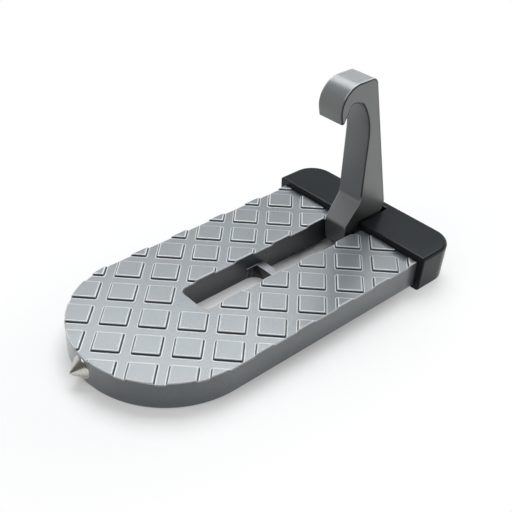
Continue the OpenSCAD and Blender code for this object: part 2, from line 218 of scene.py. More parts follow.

# painted shade at the foot of the hook: side mask = how far z + lean x lies under its edge, on faces across the plate;
# hub mask = how far z lies under the nose; mask = the larger of the two x amount
footShadeShape = {"lean": 0.667, "facing": (0.75, 0.95), "sideSpan": (0.0530, 0.0640), "side": 0.84,
              "hubSpan": (0.0135, 0.0153), "hub": 0.48}
paintedFootShade, gn, gl, gin, gout = makeGroup("paintedFootShade", {"Amount": 1.0}, ["Mask"])
coord = addNode(gn, "ShaderNodeTexCoord")
place, facing = addNode(gn, "ShaderNodeSeparateXYZ"), addNode(gn, "ShaderNodeSeparateXYZ")
leaning, across = mathNode(gn, "MULTIPLY_ADD", footShadeShape["lean"]), mathNode(gn, "ABSOLUTE")
sideMap = mapNode(gn, footShadeShape["sideSpan"], (footShadeShape["side"], 0.0))
hubMap = mapNode(gn, footShadeShape["hubSpan"], (footShadeShape["hub"], 0.0))
facingMap = mapNode(gn, footShadeShape["facing"])
onSide, larger, scaled = mathNode(gn, "MULTIPLY"), mathNode(gn, "MAXIMUM"), mathNode(gn, "MULTIPLY")
wire(gl, [(coord.outputs["Object"], place.inputs[0]), (coord.outputs["Normal"], facing.inputs[0]),
          (place.outputs[0], leaning.inputs[0]), (place.outputs[2], leaning.inputs[2]),
          (facing.outputs[1], across.inputs[0]), (leaning.outputs[0], sideMap.inputs["Value"]),
          (place.outputs[2], hubMap.inputs["Value"]), (across.outputs[0], facingMap.inputs["Value"]),
          (sideMap.outputs[0], onSide.inputs[0]), (facingMap.outputs[0], onSide.inputs[1]),
          (onSide.outputs[0], larger.inputs[0]), (hubMap.outputs[0], larger.inputs[1]),
          (larger.outputs[0], scaled.inputs[0]), (gin.outputs["Amount"], scaled.inputs[1]),
          (scaled.outputs[0], gout.inputs["Mask"])])


def startMat(name, sockets):  # empty material with its shader wired to the output
    mat = bpy.data.materials.new(name)
    mat.use_nodes = True
    n, l = mat.node_tree.nodes, mat.node_tree.links
    n.clear()
    out, bsdf = addNode(n, "ShaderNodeOutputMaterial"), addNode(n, "ShaderNodeBsdfPrincipled", sockets)
    l.new(bsdf.outputs[0], out.inputs["Surface"])
    return mat, n, l, bsdf


def rampNode(nodes, stops):  # colour ramp from two pairs of position and colour
    ramp = addNode(nodes, "ShaderNodeValToRGB")
    for element, (place, tone) in zip(ramp.color_ramp.elements, stops):
        element.position, element.color = place, tuple(tone) + (1,)
    return ramp


def skinMat(name, v):  # paint on the cast skin: v holds its tones, gloss and relief
    mat, n, l, bsdf = startMat(name, v["sockets"])
    skin = addNode(n, "ShaderNodeGroup", v["skin"], node_tree=castSkin)
    tones = rampNode(n, [(0.0, v["dark"]), (1.0, v["light"])])
    gloss = mapNode(n, (0.0, 1.0), v["rough"])
    bump = addNode(n, "ShaderNodeBump", {"Strength": 1.0, "Distance": v["relief"]})
    wire(l, [(skin.outputs["Tone"], tones.inputs["Fac"]), (skin.outputs["Tone"], gloss.inputs["Value"]),
             (skin.outputs["Height"], bump.inputs["Height"]), (gloss.outputs[0], bsdf.inputs["Roughness"]),
             (bump.outputs[0], bsdf.inputs["Normal"])])
    colour = tones.outputs[0]
    for key, tone in v.get("masks", {}).items():  # painted highlight (edge) and painted shade (shade), where the piece says so
        amount = addNode(n, "ShaderNodeAttribute", attribute_name=key).outputs["Fac"]
        # the painted shade at the hook's foot joins the painted shade mask
        if key == "shade" and "footShade" in v:
            footShade = addNode(n, "ShaderNodeGroup", {"Amount": v["footShade"]}, node_tree=paintedFootShade)
            both = mathNode(n, "MAXIMUM")
            wire(l, [(amount, both.inputs[0]), (footShade.outputs["Mask"], both.inputs[1])])
            amount = both.outputs[0]
        mix = addNode(n, "ShaderNodeMix", {7: tuple(tone) + (1,)}, data_type="RGBA")
        wire(l, [(amount, mix.inputs["Factor"]), (colour, mix.inputs[6])])
        colour = mix.outputs[2]
        if key == "shade":  # where shade is painted the coat is taken away too, to keep the painted shade dark
            lacquer = mapNode(n, (0.0, 1.0), (v["coat"], 0.0))
            wire(l, [(amount, lacquer.inputs["Value"]), (lacquer.outputs[0], bsdf.inputs["Coat Weight"])])
    l.new(colour, bsdf.inputs["Base Color"])
    return mat


def turnedMat(name, v, axis):  # bright turned steel: fine rings across the axis, tone and gloss follow them
    mat, n, l, bsdf = startMat(name, {"Metallic": 1.0, "Anisotropic": v["streak"]})
    coord, place = addNode(n, "ShaderNodeTexCoord"), addNode(n, "ShaderNodeMapping")
    place.inputs["Scale"].default_value = [1.0 if k == axis else v["stretch"] for k in range(3)]
    rings = addNode(n, "ShaderNodeTexNoise", {"Scale": v["rings"], "Detail": 3.0, "Roughness": 0.6})
    tones = rampNode(n, zip(v["span"], (v["dark"], v["light"])))
    gloss = mapNode(n, (0.0, 1.0), v["rough"])
    bump = addNode(n, "ShaderNodeBump", {"Strength": 1.0, "Distance": v["relief"]})
    wire(l, [(coord.outputs["Object"], place.inputs["Vector"]), (place.outputs[0], rings.inputs["Vector"]),
             (rings.outputs["Fac"], tones.inputs["Fac"]), (rings.outputs["Fac"], gloss.inputs["Value"]),
             (rings.outputs["Fac"], bump.inputs["Height"]), (tones.outputs[0], bsdf.inputs["Base Color"]),
             (gloss.outputs[0], bsdf.inputs["Roughness"]), (bump.outputs[0], bsdf.inputs["Normal"])])
    return mat


# finishes: dark and light tone, gloss between two roughnesses, height of the relief in metres
finish = {
    "plate": {"dark": (0.150, 0.170, 0.185), "light": (0.222, 0.246, 0.266), "rough": (0.25, 0.32), "relief": 0.00004,
              "skin": {"Wave": 300.0, "Grain": 1400.0, "Specks": 3200.0, "Pits": 1300.0, "Cover": 0.35},
              "sockets": {"Specular IOR Level": 0.35, "Coat Roughness": 0.28}, "coat": 1.0,
              # mask tones: edge is a painted highlight, shade a painted shade
              "masks": {"edge": (0.86, 0.88, 0.90), "shade": (0.035, 0.04, 0.043)}},
    "hook": {"dark": (0.22, 0.23, 0.233), "light": (0.245, 0.255, 0.258), "rough": (0.29, 0.35), "relief": 0.000010,
             "skin": {"Wave": 160.0, "Grain": 1100.0, "Specks": 3200.0, "Pits": 1300.0, "Cover": 0.1},
             # amount of painted shade at the hook's foot
             "sockets": {"Specular IOR Level": 0.35, "Coat Roughness": 0.38}, "coat": 1.0, "footShade": 1.0,
             # mask tones: edge is a painted highlight, shade a painted shade
             "masks": {"edge": (0.66, 0.67, 0.68), "shade": (0.008, 0.009, 0.010)}},
    "rubber": {"dark": (0.0105, 0.0140, 0.0155), "light": (0.0160, 0.0200, 0.0222), "rough": (0.17, 0.22),
               "relief": 0.000006, "sockets": {"Specular IOR Level": 0.22},
               "skin": {"Wave": 420.0, "Grain": 2400.0, "Specks": 2600.0, "Pits": 1500.0, "Cover": 0.0}},
    "spacer": {"dark": (0.02, 0.02, 0.022), "light": (0.03, 0.031, 0.033), "rough": (0.4, 0.55), "relief": 0.000008,
               "skin": {"Wave": 900.0, "Grain": 3000.0, "Specks": 3000.0, "Pits": 1500.0, "Cover": 0.0}, "sockets": {}},
    "steel": {"dark": (0.48, 0.465, 0.435), "light": (0.60, 0.585, 0.55), "rough": (0.16, 0.26), "relief": 0.000004,
              "rings": 5000.0, "stretch": 0.02, "streak": 0.4, "span": (0.3, 0.7)},
    "pin": {"dark": (0.16, 0.16, 0.165), "light": (0.27, 0.27, 0.275), "rough": (0.3, 0.42), "relief": 0.000008,
            "rings": 3000.0, "stretch": 0.02, "streak": 0.2, "span": (0.3, 0.7)}}
platePaint, hookPaint = skinMat("platePaint", finish["plate"]), skinMat("hookPaint", finish["hook"])
capRubber, spacerPlastic = skinMat("capRubber", finish["rubber"]), skinMat("spacerPlastic", finish["spacer"])
tipSteel, pinSteel = turnedMat("tipSteel", finish["steel"], 0), turnedMat("pinSteel", finish["pin"], 1)
print("finishes ready")

hair = 1e-5  # metres: places closer than this are one place


def solidMesh(name, parts):  # closed surfaces in one mesh, faces turned outwards
    points, faces, first = [], [], 0
    for xyz, loops in parts:
        points.append(np.asarray(xyz, float))
        faces += [[first + i for i in loop] for loop in loops]
        first += len(xyz)
    mesh = bpy.data.meshes.new(name)
    mesh.from_pydata(np.concatenate(points).tolist(), [], faces)
    bm = bmesh.new()
    bm.from_mesh(mesh)
    bmesh.ops.remove_doubles(bm, verts=bm.verts, dist=hair / 10)
    bmesh.ops.recalc_face_normals(bm, faces=bm.faces)
    bm.to_mesh(mesh)
    bm.free()
    return mesh


def standFor(name, mesh, mat, body, node):  # a mesh becomes the piece that stands for a node
    mesh.materials.clear()
    mesh.materials.append(mat)
    piece = bpy.data.objects.new(name, mesh)
    scene.collection.objects.link(piece)
    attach(piece, body)
    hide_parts(node)
    return piece


def makePiece(name, parts, mat, body, node, crease):  # crease: degrees from which an edge stays sharp
    mesh = solidMesh(name, parts)
    mesh.shade_smooth()
    mesh.set_sharp_from_angle(angle=math.radians(crease))
    return standFor(name, mesh, mat, body, node)


def flatNormals(piece, keepSharp):  # large faces shade flat, narrow ones between them take up the turn
    flats = piece.modifiers.new("flats", "WEIGHTED_NORMAL")
    flats.mode, flats.weight, flats.keep_sharp = "FACE_AREA_WITH_ANGLE", 100, keepSharp


def ringFaces(n, rings):  # quads between rings of n points, each ring closed
    i, k = np.meshgrid(np.arange(n), np.arange(rings - 1))
    a, b = k * n + i, k * n + (i + 1) % n
    return np.stack([a, b, b + n, a + n], -1).reshape(-1, 4).tolist()


def shellFaces(n, rings):  # the same with the first and the last ring closed by a face
    return ringFaces(n, rings) + [list(range(n))[::-1], list(range((rings - 1) * n, rings * n))]


def stripFaces(edges, n, rings):  # quads below the border edges of a sheet, ring by ring, n points in a ring
    quads = [np.column_stack([edges + k * n, edges[:, ::-1] + (k + 1) * n]) for k in range(rings - 1)]
    return np.concatenate(quads).tolist()


def block(x0, x1, y0, y1, z0, z1):  # closed upright block between two corners
    xy = np.array([(x0, y0), (x1, y0), (x1, y1), (x0, y1)])
    return np.column_stack([np.concatenate([xy, xy]), np.repeat([z0, z1], 4)]), shellFaces(4, 2)


# cast plate, in metres; sheer is the width of a step in the height of its top
plate = {"roundX": -0.033725, "halfWidth": 0.035, "rearX": 0.069775, "rearRound": 0.0045, "wall": 0.0026,
         "treadZ": 0.01245, "deckZ": 0.01165, "ceilingZ": 0.00905, "footZ": 0.00145,
         "rim": 0.00045, "footRound": 0.0006, "mouthX": 0.054025, "landX": 0.060, "landHalf": 0.00615, "sheer": 5e-5,
         "slotFront": -0.023325, "slotHalf": 0.0072, "slotRound": 0.0025,
         "slotRings": (0.0105, 0.00925, 0.00805, 0.0065, 0.005, 0.0032),
         "pivot": (0.055275, 0.00805), "pocket": 0.0081, "pocketX": 0.0595,
         "pitch": 0.0132, "firstPad": -0.058325, "barePad": -0.020989, "padHalf": 0.00485, "padCorner": 0.0007,
         "padReach": 0.0068, "padRows": ((-2, 16), (-5, 6)),
         "webPitch": 0.014, "webHalf": 0.001, "webFoot": 0.00295, "webRoot": 0.001, "bossHalf": 0.0051,
         "bossStart": 0.0022, "bossEnd": -0.055625, "bossOverlap": 0.003, "tunnelHalf": 0.0045, "tunnelReach": 0.034,
         "ribX": 0.014675, "ribHalf": 0.00175, "ribTop": 0.0063, "ribRound": 0.005, "ribLedge": 0.0005,
         "ribBevel": 0.0002, "ribRoot": 0.0006, "pocketOverlap": 0.002,
         "seatRadius": 0.0047, "seatDepth": 0.0015, "seatZ": 0.00695, "seatTop": 0.01112, "seatSteps": 64,
         "cornerSteps": 9, "padSteps": 5, "rimSteps": 5, "footSteps": 6, "sideSteps": 60, "frontSteps": 150,
         # rim and rib light values are painted highlight; hollow and slot shade values are painted shade
         "crease": 38, "rimDepth": 0.0006, "rimGaps": (0, 0.28, 0.449), "rimHighlight": (0.95, 0.9, 0), "lowRimHighlight": 0.5,
         "ribHighlight": 0.12, "hollowShade": 0.95, "slotShadeX": (-0.02, 0.03), "slotShade": (0.58, 0.80)}
# pad's skin: distance outside its foot line in mm, height there, painted highlight, painted shade on the slope
padSkin = np.array([(-1.05, 0.80, 0.00, 0.0), (-0.93, 0.80, 0.10, 0.0), (-0.85, 0.80, 0.30, 0.0),
                    (-0.735, 0.785, 0.75, 0.0), (-0.625, 0.74, 1.0, 0.0), (-0.535, 0.67, 1.0, 0.0),
                    (-0.47, 0.59, 0.60, 0.0), (-0.40, 0.48, 0.05, 0.55), (-0.25, 0.24, 0.0, 1.0),
                    (-0.175, 0.147, 0.0, 1.0), (-0.073, 0.067, 0.0, 0.85), (0.03, 0.02, 0.15, 0.35),
                    (0.15, 0.0, 0.75, 0.0), (0.30, 0.0, 0.55, 0.0), (0.45, 0.0, 0.0, 0.0)])
# limits of the normals by which the plate's faces are told apart
steep = {"wall": 0.02, "slot": 0.05, "hollow": 0.66, "bevel": 0.95, "front": 0.2, "seat": 0.3, "foot": 0.995}


def cornerGap(qx, qy, corner):  # distance outside a round corner, from the distances past its centre lines
    return np.hypot(np.maximum(qx, 0), np.maximum(qy, 0)) + np.minimum(np.maximum(qx, qy), 0) - corner


def rimGap(x, y):  # distance in from the plate's outline: half circle in front, straight sides, two round corners
    p = plate
    front = p["halfWidth"] - np.hypot(np.minimum(x - p["roundX"], 0), y)
    rear = -cornerGap(x - (p["rearX"] - p["rearRound"]), np.abs(y) - (p["halfWidth"] - p["rearRound"]), p["rearRound"])
    return np.where(x < 0, front, rear)


def slotRear(z):  # the slot ends in a round pocket about the pin: half chord of its circle at height z
    p = plate
    return p["pivot"][0] + np.sqrt(p["pocket"] ** 2 - (z - p["pivot"][1]) ** 2)


def slotSideGap(x, y):  # distance out from the slot's front end and sides, two round corners in front
    p = plate
    return cornerGap(p["slotFront"] + p["slotRound"] - x, np.abs(y) - (p["slotHalf"] - p["slotRound"]), p["slotRound"])


def slotGap(x, y):  # distance out from the slot's outline at tread level
    return np.maximum(slotSideGap(x, y), x - slotRear(plate["treadZ"]))


def padCentres():  # lattice turned by 45 degrees, without the pad at the slot's end
    p = plate
    step, reach = p["pitch"] / math.sqrt(2), p["padReach"]
    i, j = np.meshgrid(*[np.arange(*rows) for rows in p["padRows"]], indexing="ij")
    even = (i + j) % 2 == 0
    x, y = p["firstPad"] + i[even] * step, j[even] * step
    keep = (rimGap(x, y) > -reach) & (x < p["mouthX"] + reach) & (np.hypot(x - p["barePad"], y) > p["padHalf"])
    return np.stack([x[keep], y[keep]], 1)


pads = padCentres()


def padGap(x, y):  # distance outside the nearest pad, a square with round corners that stands on its tip
    p, c = plate, math.sqrt(0.5)
    dx, dy = x[:, None] - pads[:, 0], y[:, None] - pads[:, 1]
    core = p["padHalf"] - p["padCorner"]
    return cornerGap(np.abs(c * (dx + dy)) - core, np.abs(c * (dy - dx)) - core, p["padCorner"]).min(1)


def roundDrop(gap, radius):  # quarter circle: drop of a rounded edge at a distance in from it
    return radius - np.sqrt(radius ** 2 - np.clip(radius - gap, 0, radius) ** 2)


def deckHeight(x, y):  # deck + pad skin, flat under the cap, the hook's land behind the pocket, less both rounded rims
    p = plate
    z = p["deckZ"] + np.interp(padGap(x, y) * 1000, padSkin[:, 0], padSkin[:, 1] / 1000)
    z = np.where(x > p["mouthX"] + hair, p["deckZ"], z)
    z = np.where((x > p["landX"]) & (abs(y) < p["landHalf"] + hair), p["treadZ"], z)
    return z - roundDrop(rimGap(x, y), p["rim"]) - roundDrop(slotGap(x, y), p["rim"])


def outlineLoop(inset):  # plate outline moved in: near side, two rear corners, far side, half circle in front
    p = plate
    r, rr = p["halfWidth"] - inset, p["rearRound"] - inset
    hx, hy = p["rearX"] - p["rearRound"], p["halfWidth"] - p["rearRound"]
    a, b = np.linspace(0, np.pi / 2, p["cornerSteps"]), np.linspace(np.pi / 2, 3 * np.pi / 2, p["frontSteps"])
    side = np.linspace(p["roundX"], hx, p["sideSteps"])[1:-1]
    x = [side, hx + rr * np.sin(a), hx + rr * np.cos(a), side[::-1], p["roundX"] + r * np.cos(b)]
    y = [side * 0 - r, -hy - rr * np.cos(a), hy + rr * np.sin(a), side * 0 + r, r * np.sin(b)]
    return np.stack([np.concatenate(x), np.concatenate(y)], 1)


def slotLoop(grow, rear):  # slot outline moved out, with two round corners in front and a straight rear edge
    p = plate
    r, a = p["slotRound"] + grow, np.linspace(0, np.pi / 2, p["cornerSteps"])
    cx, cy = p["slotFront"] + p["slotRound"], p["slotHalf"] - p["slotRound"]
    side = np.linspace(cx, rear, p["sideSteps"])
    x = [side, side[::-1], cx - r * np.sin(a)[1:], cx - r * np.cos(a)[:-1]]
    y = [side * 0 - cy - r, side * 0 + cy + r, cy + r * np.cos(a)[1:], -cy - r * np.sin(a)[:-1]]
    return np.stack([np.concatenate(x), np.concatenate(y)], 1)


def padLoops():  # contours of every pad, one for each step of its skin: a turned square grown by that step
    p, c = plate, math.sqrt(0.5)
    a = np.arange(4)[:, None] * np.pi / 2 + np.linspace(0, np.pi / 2, p["padSteps"])
    middle = a[:, p["padSteps"] // 2, None]
    sx, sy = (np.sign(turn(middle)) * (p["padHalf"] - p["padCorner"]) for turn in (np.cos, np.sin))
    loops = []
    for out in padSkin[:, 0] / 1000:
        r = p["padCorner"] + out
        u, v = (sx + r * np.cos(a)).ravel(), (sy + r * np.sin(a)).ravel()
        if r < 0:  # inside the corner's centre the corner is sharp
            u, v = (sx + r * np.sign(sx)).ravel(), (sy + r * np.sign(sy)).ravel()
        loops += list(pads[:, None] + np.stack([c * (u - v), c * (u + v)], 1))
    return loops


def cutSheet(loops, lines, inside):  # flat triangles along closed loops and lines, cut in mm, kept where inside says so
    edges, first = [], 0
    for loop in loops:
        i = np.arange(len(loop))
        edges.append(np.stack([i, np.roll(i, -1)], 1) + first)
        first += len(loop)
    for points, ends in lines:
        edges.append(np.asarray(ends) + first)
        first += len(points)
    flat = np.concatenate(list(loops) + [np.asarray(points) for points, ends in lines]) * 1000
    out = delaunay_2d_cdt([Vector(v) for v in flat.tolist()], np.concatenate(edges).tolist(), [], 0, 2 * hair, False)
    xy, tris = np.array([v[:] for v in out[0]]) / 1000, np.array(out[2])
    tris = tris[inside(*xy[tris].mean(1).T)]
    used, tris = np.unique(tris, return_inverse=True)
    return xy[used], tris.reshape(-1, 3)


def borderEdges(tris):  # directed edges that have no partner in another triangle
    ends = np.concatenate([tris[:, [0, 1]], tris[:, [1, 2]], tris[:, [2, 0]]])
    there, back = ends[:, 0] * 10 ** 7 + ends[:, 1], ends[:, 1] * 10 ** 7 + ends[:, 0]
    return ends[~np.isin(there, back)]


def slopeOf(gap, x, y):  # direction in which a distance grows
    d = hair / 5
    g = np.stack([gap(x + d, y) - gap(x - d, y), gap(x, y + d) - gap(x, y - d)], 1)
    return g / np.maximum(np.linalg.norm(g, axis=1, keepdims=True), 1e-12)


def flatAt(xy, z):  # points of a level ring or sheet
    return np.column_stack([xy, np.full(len(xy), z)])


def wallRings(xy, top, edges, rings):  # rings below a border, each with its height and its points' places
    used, ends = np.unique(edges, return_inverse=True)
    ends = ends.reshape(-1, 2)
    ring = [np.column_stack([xy[used], top[used]])] + [flatAt(place(xy[used]), z) for z, place in rings]
    return (np.concatenate(ring), stripFaces(ends, len(used), len(ring))), (ring[-1][:, :2], ends)


def plateShell():  # deck sheet with its height formula, walls down from both borders, foot ring, ceiling and its walls
    p = plate
    rimInsets = p["rim"] * (1 - np.cos(np.linspace(0, np.pi / 2, p["rimSteps"])))
    rearTop, over = float(slotRear(p["treadZ"])), 0.001  # lines along the steps in height end past the border
    out = p["halfWidth"] + over
    lines = [([(x, -out), (x, out)], [(0, 1)]) for x in (p["mouthX"], p["mouthX"] + p["sheer"])]
    lines += [([(rearTop - over, y), (p["rearX"] + over, y)], [(0, 1)]) for side in (-1, 1)
              for y in sorted((side * p["landHalf"], side * (p["landHalf"] + p["sheer"])))]
    loops = [outlineLoop(s) for s in rimInsets] + [slotLoop(s, rearTop + s) for s in rimInsets] + padLoops()
    xy, tris = cutSheet(loops, lines, lambda x, y: np.minimum(rimGap(x, y), slotGap(x, y)) > hair / 100)
    z = deckHeight(xy[:, 0], xy[:, 1])
    border = borderEdges(tris)
    atSlot = slotGap(*xy[border].mean(1).T) < 2 * hair

    def movedIn(inset):  # away from the outline, at the rounded foot
        return lambda v: v + slopeOf(rimGap, *v.T) * inset

    def narrowed(height):  # the rear of the slot follows the round pocket
        pinX = p["pivot"][0]
        reach = (slotRear(height) - pinX) / (rearTop - pinX)
        return lambda v: np.column_stack([pinX + (v[:, 0] - pinX) * np.where(v[:, 0] > pinX, reach, 1), v[:, 1]])

    t, quarter = p["footRound"], np.linspace(0, np.pi / 2, p["footSteps"])
    outer, outerFoot = wallRings(xy, z, border[~atSlot], [
        (p["footZ"] + t * (1 - math.sin(a)), movedIn(t * (1 - math.cos(a)))) for a in quarter])
    inner, innerFoot = wallRings(xy, z, border[atSlot], [(h, narrowed(h)) for h in (*p["slotRings"], p["footZ"])])
    hollows = [outlineLoop(p["wall"]), slotLoop(p["wall"], p["rearX"] - p["wall"] + p["pocketOverlap"])]

    def underDeck(x, y):
        return (rimGap(x, y) > p["wall"]) & (slotSideGap(x, y) > p["wall"])

    def inFoot(x, y):
        return (rimGap(x, y) > t) & ~underDeck(x, y) & ((slotSideGap(x, y) > 0) | (x > slotRear(p["footZ"])))

    footXY, footTris = cutSheet(hollows, [outerFoot, innerFoot], inFoot)
    topXY, topTris = cutSheet(hollows, [], underDeck)
    edge = borderEdges(topTris)
    hollowWall = np.concatenate([flatAt(topXY, h) for h in (p["ceilingZ"], p["footZ"])])
    return [(np.column_stack([xy, z]), tris.tolist()), outer, inner, (flatAt(footXY, p["footZ"]), footTris.tolist()),
            (flatAt(topXY, p["ceilingZ"]), topTris.tolist()), (hollowWall, stripFaces(edge, len(topXY), 2))]


def plateRibs():  # blocks: webs under the deck, wall in front of the slot, boss of the stud and tunnel of the pin
    p, w, parts = plate, plate["webHalf"], []
    height, deep = (p["webFoot"], p["ceilingZ"] + p["webRoot"]), p["slotHalf"] + p["wall"] / 2
    tunnel = (p["pivot"][0] - p["tunnelHalf"], p["pivot"][0] + p["tunnelHalf"])
    x = tunnel[0] - p["webPitch"]
    while x > p["bossEnd"]:
        reach = math.sqrt((p["halfWidth"] - p["wall"] / 2) ** 2 - min(x - p["roundX"], 0) ** 2)
        inner = deep if x > p["slotFront"] - p["pocketOverlap"] else 0.0
        parts += [block(x - w, x + w, *side, *height) for side in ((inner, reach), (-reach, -inner))]
        x -= p["webPitch"]
    start, reach = p["roundX"] - p["halfWidth"] + p["bossStart"], p["tunnelReach"]
    parts.append(block(p["bossEnd"] - p["bossOverlap"], p["slotFront"] - p["webRoot"], -w, w, *height))
    parts.append(block(start, p["bossEnd"], -p["bossHalf"], p["bossHalf"], *height))
    return parts + [block(*tunnel, *side, *height) for side in ((deep, reach), (-reach, -deep))]


def restRib():  # cross rib in the slot: at the foot a quarter circle into each wall, drawn in to a narrow ledge on top
    p, a = plate, np.linspace(0, np.pi / 2, plate["cornerSteps"])
    front, back, r, w = p["ribX"] - p["ribHalf"], p["ribX"] + p["ribHalf"], p["ribRound"], p["slotHalf"]
    root, bevel, ledge, curveX = w + p["ribRoot"], p["ribBevel"], w - p["ribLedge"] + 0 * a, front - r + r * np.sin(a)
    x = np.concatenate([[back, back, front - r], curveX, curveX[::-1], [front - r]])
    inward = np.where(x < front - hair / 10, 0, 1) - 2 * (x > front + hair / 10)

    def ring(depth, z, cut):
        y = np.concatenate([[-root, root, root], depth, -depth[::-1], [-root]])
        return flatAt(np.column_stack([x + cut * inward, y]), z)

    rings = [ring(w - r + r * np.cos(a), p["footZ"], 0), ring(ledge, p["ribTop"] - bevel, 0),
             ring(ledge + bevel, p["ribTop"], bevel)]
    return np.concatenate(rings), shellFaces(len(x), 3)


def cutSeat(piece):  # round seat of the hammer tip, a cylinder sunk into the front wall, cut off flat below the rim
    p, tip = plate, plate["roundX"] - plate["halfWidth"]
    a = np.arange(p["seatSteps"]) * 2 * np.pi / p["seatSteps"]
    across, up = p["seatRadius"] * np.cos(a), np.minimum(p["seatZ"] + p["seatRadius"] * np.sin(a), p["seatTop"])
    xyz = np.concatenate([np.column_stack([np.full(len(a), x), across, up])
                          for x in (tip - p["pocketOverlap"], tip + p["seatDepth"])])
    cutter = bpy.data.objects.new("seatCutter", solidMesh("seatCutter", [(xyz, shellFaces(len(a), 2))]))
    scene.collection.objects.link(cutter)
    cut = piece.modifiers.new("seat", "BOOLEAN")
    cut.operation, cut.solver, cut.object = "DIFFERENCE", "EXACT", cutter
    done = bpy.data.meshes.new_from_object(piece.evaluated_get(bpy.context.evaluated_depsgraph_get()))
    piece.modifiers.clear()
    done.name = piece.data.name
    piece.data = done
    bpy.data.objects.remove(cutter)


def cornerData(mesh):  # place of the point and normal of the face for every face corner
    xyz, nrm = np.empty(len(mesh.vertices) * 3, np.float32), np.empty(len(mesh.polygons) * 3, np.float32)
    count, point = np.empty(len(mesh.polygons), np.int32), np.empty(len(mesh.loops), np.int32)
    mesh.vertices.foreach_get("co", xyz)
    mesh.polygons.foreach_get("normal", nrm)
    mesh.polygons.foreach_get("loop_total", count)
    mesh.loops.foreach_get("vertex_index", point)
    return xyz.reshape(-1, 3).astype(float)[point], np.repeat(nrm.reshape(-1, 3), count, axis=0).astype(float)


def plateNormals(mesh):  # slope of the height formula on top, straight out on the walls, quarter turn at the foot
    p = plate
    xyz, face = cornerData(mesh)
    x, y, z = xyz.T
    outward, inward = -slopeOf(rimGap, x, y), -slopeOf(slotGap, x, y)
    edge, slotEdge = rimGap(x, y), slotGap(x, y)
    d = 1.5 * hair
    rise = np.stack([(deckHeight(x - d, y) - deckHeight(x + d, y)) / (2 * d),
                     (deckHeight(x, y - d) - deckHeight(x, y + d)) / (2 * d), np.ones(len(x))], 1)
    onTop = (face[:, 2] > steep["wall"]) & (z > p["deckZ"] - p["rimDepth"])
    result = face.copy()
    result[onTop] = rise[onTop]
    wall = ((abs(face[:, 2]) < steep["wall"]) | onTop) & (edge < 2 * hair)
    result[wall] = flatAt(outward, 0)[wall]
    slotWall = ((abs(face[:, 2]) < steep["slot"]) | onTop) & (abs(slotEdge) < 2 * hair) & (x < p["pocketX"])
    result[slotWall] = flatAt(inward, 0)[slotWall]
    foot = (z < p["footZ"] + p["footRound"] + hair / 10) & (edge < p["footRound"] + hair / 10)
    foot &= (face[:, 2] > -steep["foot"]) & (face[:, 2] < steep["wall"])
    sink = np.clip((p["footZ"] + p["footRound"] - z) / p["footRound"], 0, 1)
    result[foot] = np.column_stack([outward * np.sqrt(1 - sink ** 2)[:, None], -sink])[foot]
    front, deep, top = p["ribX"] - p["ribHalf"], p["ribRound"], p["ribTop"] - p["ribBevel"]
    hollow = (slotEdge < -hair) & (x < front + hair / 10) & (z < top + hair / 10)
    hollow &= (abs(face[:, 2]) < steep["hollow"]) & (face[:, 0] < steep["front"])
    s = np.clip((x - front + deep) / deep, 0, 1)  # normal = way along the quarter circle x ruled line upward
    c, t, rise = np.sqrt(1 - s ** 2), (z - p["footZ"]) / (top - p["footZ"]), top - p["footZ"]
    lean = np.column_stack([-s * (1 - t) * rise - hair, -np.sign(y) * c * rise, c * (deep * (1 - c) - p["ribLedge"])])
    result[hollow] = lean[hollow]
    result /= np.linalg.norm(result, axis=1, keepdims=True)
    mesh.normals_split_custom_set(result.astype(np.float32).tolist())


def plateMasks(mesh):  # painted highlights on the pads' edges, the rims and the rib, painted shade on the pads' slopes, the slot's walls, the rib's hollow and the tip's seat, for every face corner
    p = plate
    xyz, face = cornerData(mesh)
    x, y, z = xyz.T
    gap, fromSlot = padGap(x, y) * 1000, slotGap(x, y)
    onTop = (z > p["deckZ"] - p["rimDepth"]) & (x < p["mouthX"] + hair) & (face[:, 2] > steep["wall"])
    inSlot = (abs(face[:, 2]) < steep["slot"]) & (fromSlot < 2 * hair)
    # painted highlight along the rims of the outline and the slot, weaker on the lower rim
    rim = np.interp(np.minimum(rimGap(x, y), fromSlot) * 1000, p["rimGaps"], p["rimHighlight"])
    rim *= np.where(z > p["deckZ"] + hair, 1, p["lowRimHighlight"])
    inRib = (fromSlot < -hair) & (z < p["ribTop"] + hair) & (x < p["ribX"] + p["ribHalf"] + hair)
    # painted highlight on the rib's top and its bevel
    ribTop = inRib & (z > p["ribTop"] - 1.5 * p["ribBevel"]) & (face[:, 2] > steep["hollow"])
    ribFlat = ribTop & (face[:, 2] > steep["bevel"])
    # painted shade in the rib's hollow
    hollow = inRib & (face[:, 2] < steep["hollow"]) & (face[:, 0] < steep["front"])
    fromTip = x - p["roundX"] + p["halfWidth"]
    # painted shade ring in the tip's seat
    seat = (np.hypot(y, z - p["seatZ"]) < p["seatRadius"] + 2 * hair) & (fromTip < p["seatDepth"] + hair)
    seat &= (abs(face[:, 0]) < steep["seat"]) | (fromTip > p["seatDepth"] - hair)
    # painted highlight and painted shade of the pads' edges, from their skin
    padHighlight, dark = (np.interp(gap, padSkin[:, 0], padSkin[:, k]) for k in (2, 3))
    # painted shade on the slot's walls, deeper towards the hook
    slotTone = np.interp(x, p["slotShadeX"], p["slotShade"])
    # edge: painted highlight; shade: painted shade, less where the rim highlight lies
    masks = {"edge": np.select([onTop, ribFlat, ribTop], [np.maximum(padHighlight, rim), p["ribHighlight"], 1.0]),
             "shade": np.select([onTop, inSlot, hollow, seat], [dark * (1 - rim), slotTone, p["hollowShade"], 1.0])}
    for key, value in masks.items():
        mesh.attributes.new(key, "FLOAT", "CORNER").data.foreach_set("value", value.astype(np.float32))


platePiece = makePiece("castPlate", plateShell() + plateRibs() + [restRib()], platePaint, "step",
                       "step_plate", plate["crease"])
cutSeat(platePiece)
plateNormals(platePiece.data)
plateMasks(platePiece.data)
print("plate made", len(platePiece.data.polygons))


